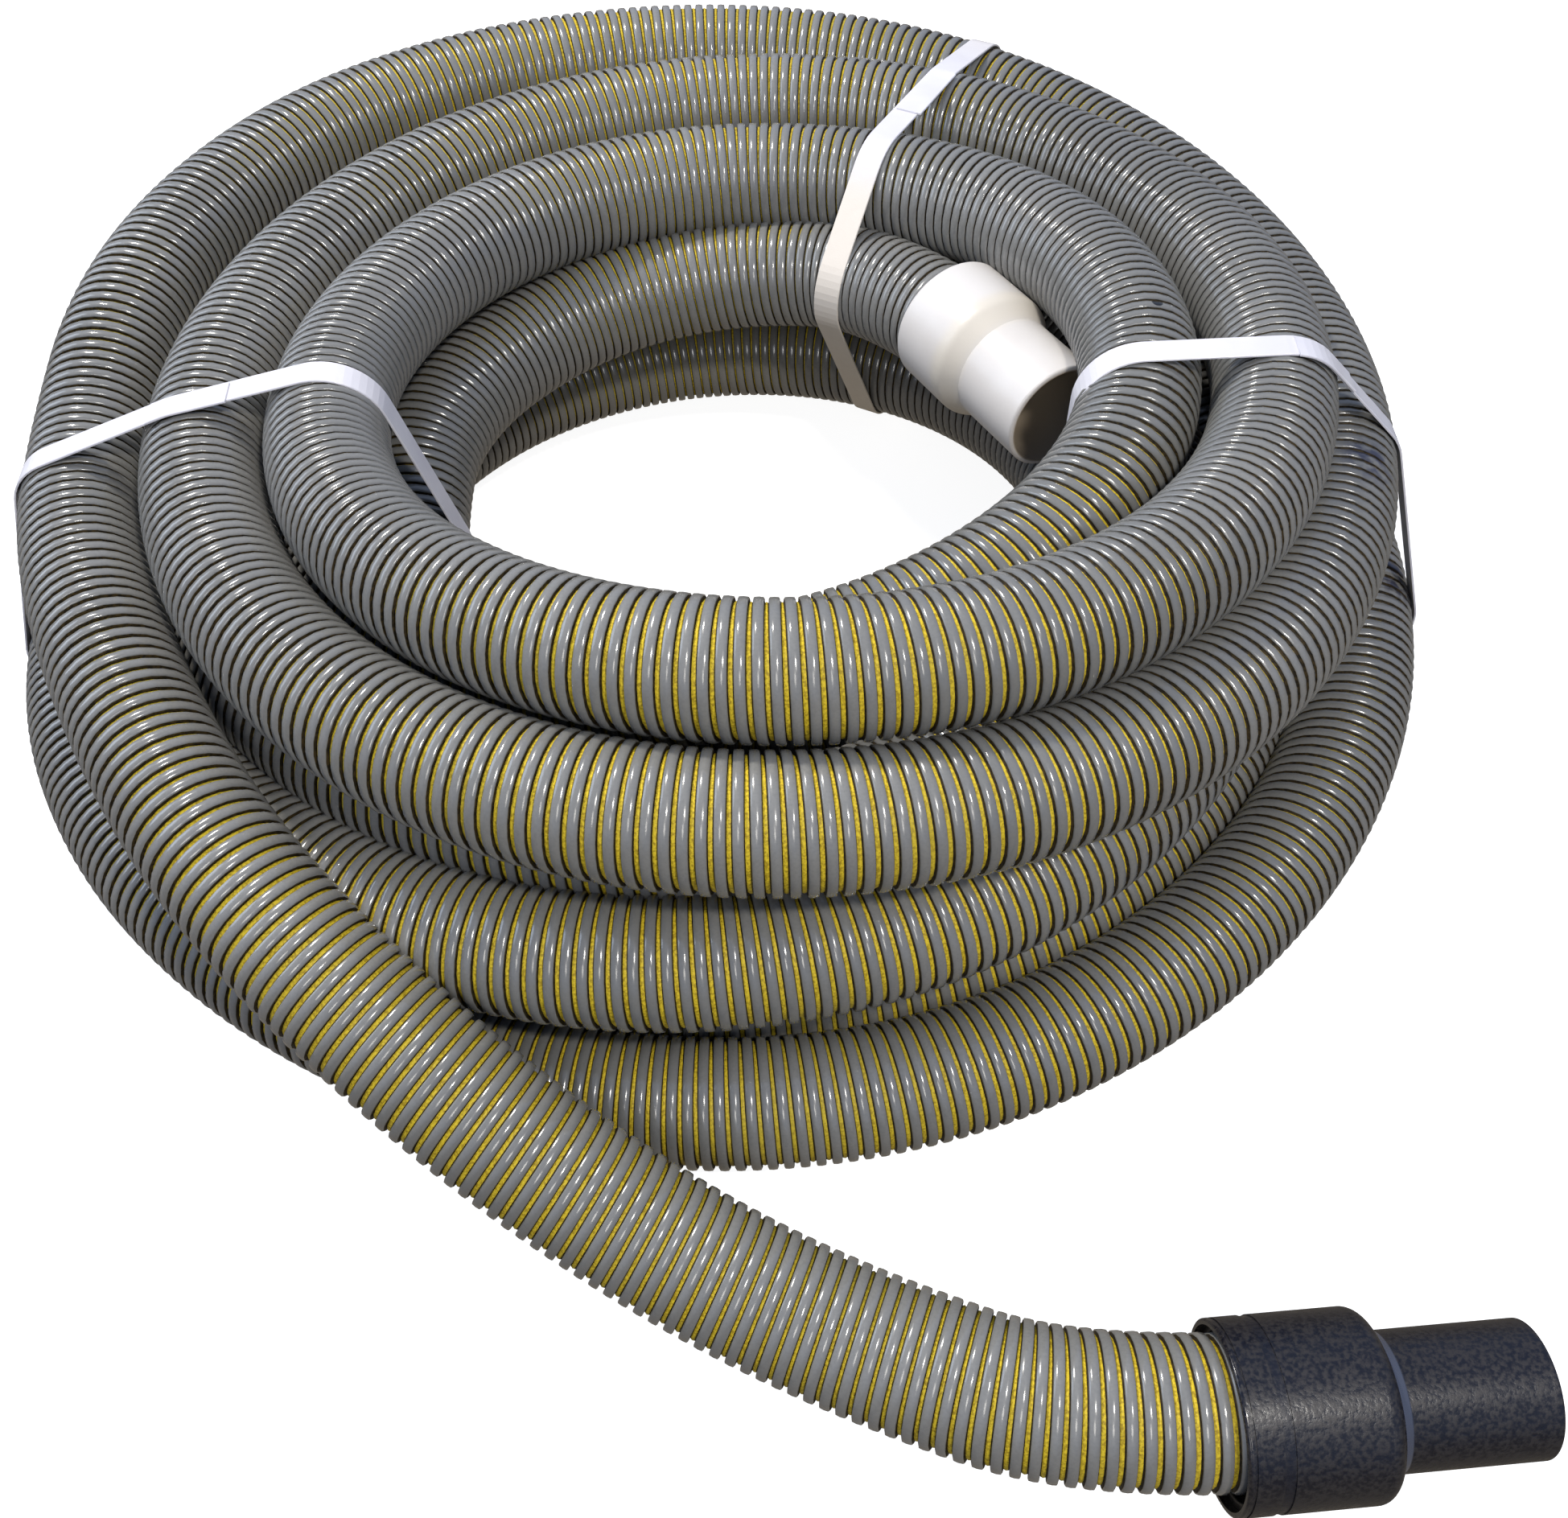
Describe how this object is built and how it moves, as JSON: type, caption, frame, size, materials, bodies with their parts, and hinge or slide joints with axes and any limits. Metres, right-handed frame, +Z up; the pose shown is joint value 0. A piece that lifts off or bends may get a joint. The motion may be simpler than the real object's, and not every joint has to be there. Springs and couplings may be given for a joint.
{
  "type": "vacuum hose",
  "caption": "Spiral-wound pool vacuum hose tied in a coil with three straps, with a black swivel cuff on its free end and a white fixed cuff on its inner end.",
  "frame": {"origin": "on the floor, at the middle of the footprint of the tied coil and its free end", "axes": "+Z up along the coil's axis; the free end leaves the coil at -X and crosses the front, -Y, towards +X"},
  "size_m": [0.6248, 0.6968, 0.1972],
  "materials": {
    "hose_band": "grey helical band, semi-gloss",
    "hose_wall": "yellow hose wall, semi-gloss",
    "cuff_black": "satin black moulding with fine grain",
    "collar_grey": "dark grey moulding",
    "seal": "soft black rubber",
    "cuff_white": "soft cream white plastic",
    "strap": "white packing strap"
  },
  "bodies": {
    "hose": {"hose_coil": "hose_band", "hose_free_end": "hose_band", "hose_inner_end": "hose_wall", "swivel_collar": "collar_grey", "white_cuff": "cuff_white", "strap_left": "strap", "strap_back": "strap", "strap_right": "strap"},
    "swivel": {"swivel_cuff": "cuff_black", "retaining_ring": "cuff_black", "seal_ring": "seal"}
  },
  "joints": [
    {"name": "cuff_swivel", "type": "hinge", "parent": "hose", "child": "swivel", "pos_m": [0.1533, -0.3193, 0.0295], "axis": [0.9962, 0.0872, 0], "continuous": true}
  ]
}
